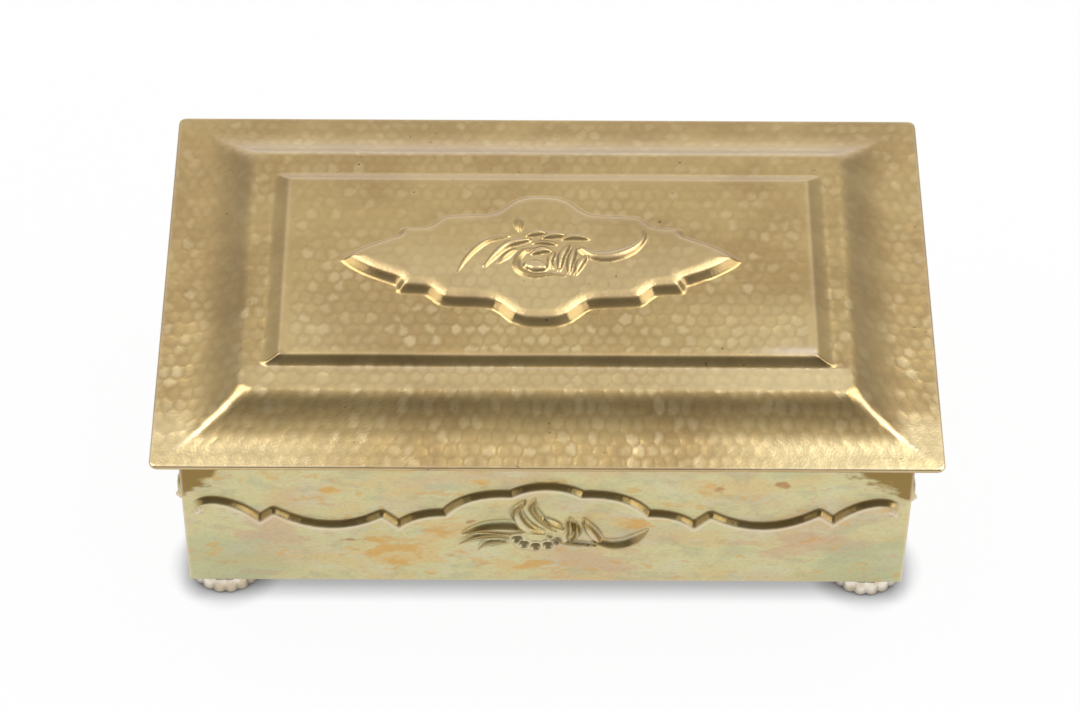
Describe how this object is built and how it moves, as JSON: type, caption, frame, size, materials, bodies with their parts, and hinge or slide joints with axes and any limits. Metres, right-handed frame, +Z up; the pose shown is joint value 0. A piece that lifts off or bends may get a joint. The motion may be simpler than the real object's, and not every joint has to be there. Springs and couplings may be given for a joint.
{
  "type": "lidded brass box",
  "caption": "Low rectangular keepsake casket in hammered sheet brass, with an overhanging hinged lid, a chased apron line and small fluted feet, lined with cedar.",
  "frame": {"origin": "on the ground, under the middle of the lid's outline", "axes": "+X to the right along the long side, +Y towards the hinges at the back, +Z up"},
  "size_m": [0.24, 0.148, 0.085],
  "materials": {
    "hammered_brass": "hammered, satin",
    "patinated_brass": "mottled patina",
    "cast_brass": "cast and polished",
    "rolled_brass": "rolled sheet and drawn rod",
    "cedar": "planed, unvarnished"
  },
  "bodies": {
    "box": {"front_wall": "patinated_brass", "back_wall": "patinated_brass", "left_wall": "patinated_brass", "right_wall": "patinated_brass", "base_pan": "rolled_brass", "floor_board": "cedar", "lining_front": "cedar", "lining_back": "cedar", "lining_left": "cedar", "lining_right": "cedar", "corner_angle_front_left": "rolled_brass", "corner_angle_front_right": "rolled_brass", "corner_angle_back_left": "rolled_brass", "corner_angle_back_right": "rolled_brass", "foot_front_left": "cast_brass", "foot_front_right": "cast_brass", "foot_back_left": "cast_brass", "foot_back_right": "cast_brass", "foot_screw_front_left": "rolled_brass", "foot_screw_front_right": "rolled_brass", "foot_screw_back_left": "rolled_brass", "foot_screw_back_right": "rolled_brass", "hinge_left_body_leaf": "rolled_brass", "hinge_right_body_leaf": "rolled_brass", "hinge_left_pin": "rolled_brass", "hinge_right_pin": "rolled_brass"},
    "lid": {"lid_shell": "hammered_brass", "lid_lip_front": "rolled_brass", "lid_lip_back": "rolled_brass", "lid_lip_left": "rolled_brass", "lid_lip_right": "rolled_brass", "lid_lining_board": "cedar", "lid_lining_pin_1": "rolled_brass", "lid_lining_pin_2": "rolled_brass", "lid_lining_pin_3": "rolled_brass", "lid_lining_pin_4": "rolled_brass", "lid_lining_pin_5": "rolled_brass", "lid_lining_pin_6": "rolled_brass", "hinge_left_lid_leaf": "rolled_brass", "hinge_right_lid_leaf": "rolled_brass"}
  },
  "joints": [
    {"name": "lid_hinge", "type": "hinge", "parent": "box", "child": "lid", "pos_m": [0, 0.066, 0.0672], "axis": [-1, 0, 0], "range_deg": [0, 102]}
  ]
}
